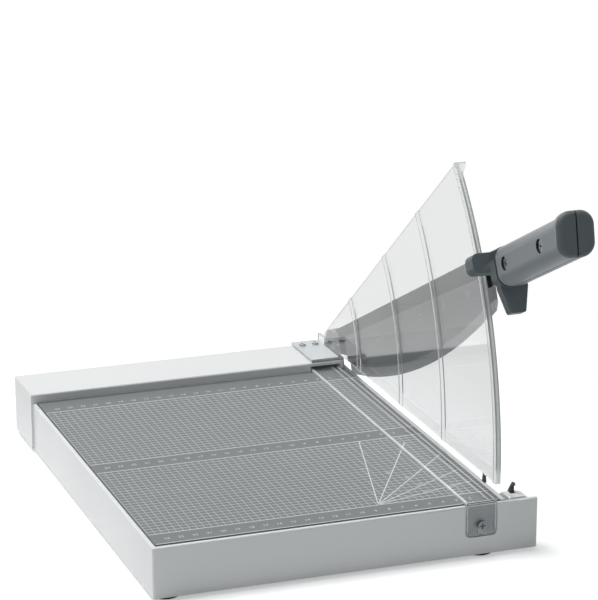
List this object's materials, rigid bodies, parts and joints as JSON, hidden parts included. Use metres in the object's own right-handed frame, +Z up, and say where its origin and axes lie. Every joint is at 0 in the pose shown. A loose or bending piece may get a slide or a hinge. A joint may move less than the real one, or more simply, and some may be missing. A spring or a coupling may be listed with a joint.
{
  "type": "paper trimmer",
  "caption": "Desk guillotine for office paper: low tray with a printed mat and back fence, lever arm with a curved blade, clear guard, clear clamp strip and arm latch.",
  "frame": {"origin": "on the desk, under the middle of the base, in the plane of the feet", "axes": "+X from the table to the blade, +Y from the user's side to the fence, +Z up"},
  "size_m": [0.2816, 0.4545, 0.2693],
  "materials": {
    "shell_grey": "satin",
    "mat_grey": "matt, printed",
    "plate_steel": "matt",
    "screw_steel": "bright",
    "carrier_aluminium": "drawn",
    "blade_steel": "ground",
    "bracket_steel": "satin",
    "clear_sheet": "polished clear plastic",
    "gasket_grey": "matt",
    "dark_plastic": "matt",
    "black_rubber": "matt",
    "bush_brass": "machined",
    "grip_grey": "fine grain",
    "hand_guard_grey": "fine grain"
  },
  "bodies": {
    "base": {"base_tray": "shell_grey", "fence_cover": "shell_grey", "latch_housing": "shell_grey", "cutting_mat": "mat_grey", "bottom_plate": "plate_steel", "fence_plate": "plate_steel", "bottom_plate_screws": "screw_steel", "fence_plate_screws": "screw_steel", "fence_screws": "screw_steel", "foot_screws": "screw_steel", "lower_blade_screws": "screw_steel", "bracket_screws": "screw_steel", "guard_screws": "screw_steel", "clamp_screw": "screw_steel", "clamp_guide_pins": "screw_steel", "housing_screws": "screw_steel", "latch_pin": "screw_steel", "pivot_bolt": "screw_steel", "thrust_washer": "screw_steel", "pivot_washer": "screw_steel", "spring_washer": "screw_steel", "blade_carrier": "carrier_aluminium", "lower_blade": "blade_steel", "pivot_bracket": "bracket_steel", "bracket_backing": "bracket_steel", "guard": "clear_sheet", "guard_gasket": "gasket_grey", "guard_rest": "dark_plastic", "rubber_feet": "black_rubber"},
    "clamp": {"clamp_strip": "clear_sheet"},
    "latch": {"arm_latch": "dark_plastic"},
    "arm": {"arm_bar": "bracket_steel", "upper_blade": "blade_steel", "blade_screws": "screw_steel", "pivot_bush": "bush_brass", "hand_guard": "hand_guard_grey", "handle_left": "grip_grey", "handle_right": "grip_grey", "handle_screws": "screw_steel", "handle_nuts": "screw_steel", "arm_bumper": "black_rubber", "catch_pin": "screw_steel"}
  },
  "joints": [
    {"name": "arm_pivot", "type": "hinge", "parent": "base", "child": "arm", "pos_m": [0.1206, 0.1565, 0.054], "axis": [-1, 0, 0], "range_deg": [-26, 10]},
    {"name": "clamp_lift", "type": "slide", "parent": "base", "child": "clamp", "axis": [0, 0, 1], "range_m": [0, 0.0012]},
    {"name": "latch_turn", "type": "hinge", "parent": "base", "child": "latch", "pos_m": [0.1265, -0.163, 0.032], "axis": [1, 0, 0], "range_deg": [0, 12]}
  ]
}
